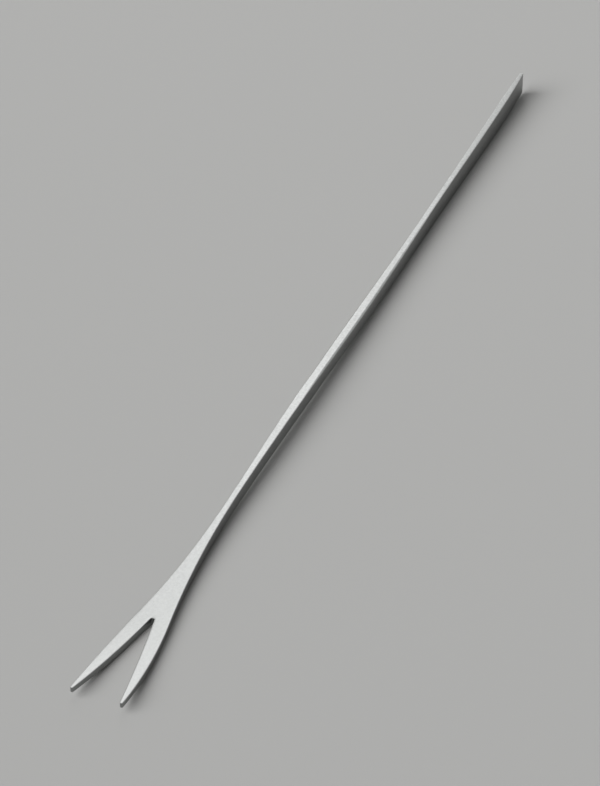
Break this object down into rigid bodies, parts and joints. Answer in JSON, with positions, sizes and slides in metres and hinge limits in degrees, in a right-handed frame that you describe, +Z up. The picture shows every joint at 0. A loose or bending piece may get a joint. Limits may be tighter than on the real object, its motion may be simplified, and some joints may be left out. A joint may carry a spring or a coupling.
{
  "type": "oyster fork",
  "caption": "Slim one-piece steel oyster fork: flat head with splayed pointed tines and a V notch, slim neck, and a long narrow handle that deepens into an upright blade.",
  "frame": {"origin": "on the table, under the middle of the fork's length and width", "axes": "+X along the fork towards the tine tips, +Z up from the table, top face up"},
  "size_m": [0.18, 0.0088, 0.0048],
  "materials": {
    "satin_steel": "fine blasted satin, no polish lines"
  },
  "bodies": {
    "root": {"fork": "satin_steel"}
  },
  "joints": []
}
